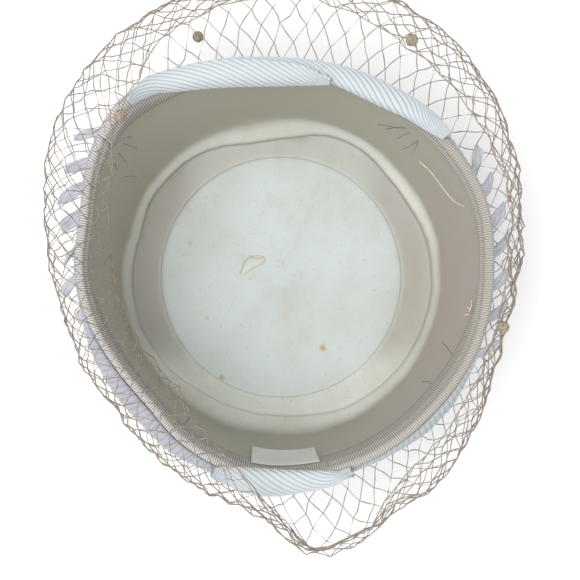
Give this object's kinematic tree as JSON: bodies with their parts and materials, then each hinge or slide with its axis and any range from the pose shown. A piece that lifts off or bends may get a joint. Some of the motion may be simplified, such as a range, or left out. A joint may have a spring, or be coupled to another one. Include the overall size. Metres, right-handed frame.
{
  "type": "pillbox hat",
  "caption": "Round pillbox hat with a draped ribbed cover, cloth leaves and a dotted veil, lying on its crown with the lined head hollow open upwards",
  "frame": {"origin": "the middle of the crown's flat outside, which is the face that the hat lies on; the middle of the head opening is straight above it", "axes": "+Z runs from the crown up to the open rim, +Y is the front of the hat as the picture shows it at the top of the picture, +X is the picture's right"},
  "size_m": [0.2287, 0.2845, 0.1042],
  "materials": {
    "draped_cloth": "fine ribbed draped cloth, pale ice blue",
    "lining_satin": "thin woven lining, pale grey green, lightly stained",
    "ribbon_grosgrain": "cream corded ribbon",
    "label_cloth": "blank white woven label",
    "leaf_satin": "stiffened white and lilac satin",
    "veil_net": "tan open net with chenille dots"
  },
  "bodies": {
    "root": {"side_cover": "draped_cloth", "tip_cover": "draped_cloth", "front_fold_over": "draped_cloth", "front_fold_under": "draped_cloth", "back_fold": "draped_cloth", "sweatband": "ribbon_grosgrain", "lining_side": "lining_satin", "lining_tip": "lining_satin", "label": "label_cloth", "veil": "veil_net", "leaf_left_1": "leaf_satin", "leaf_left_2": "leaf_satin", "leaf_left_3": "leaf_satin", "leaf_left_4": "leaf_satin", "leaf_left_5": "leaf_satin", "leaf_left_6": "leaf_satin", "leaf_left_7": "leaf_satin", "leaf_right_1": "leaf_satin", "leaf_right_2": "leaf_satin", "leaf_right_3": "leaf_satin", "leaf_right_4": "leaf_satin", "leaf_right_5": "leaf_satin", "leaf_right_6": "leaf_satin", "leaf_right_7": "leaf_satin", "veil_dot_1": "veil_net", "veil_dot_2": "veil_net", "veil_dot_3": "veil_net", "veil_dot_4": "veil_net"}
  },
  "joints": []
}
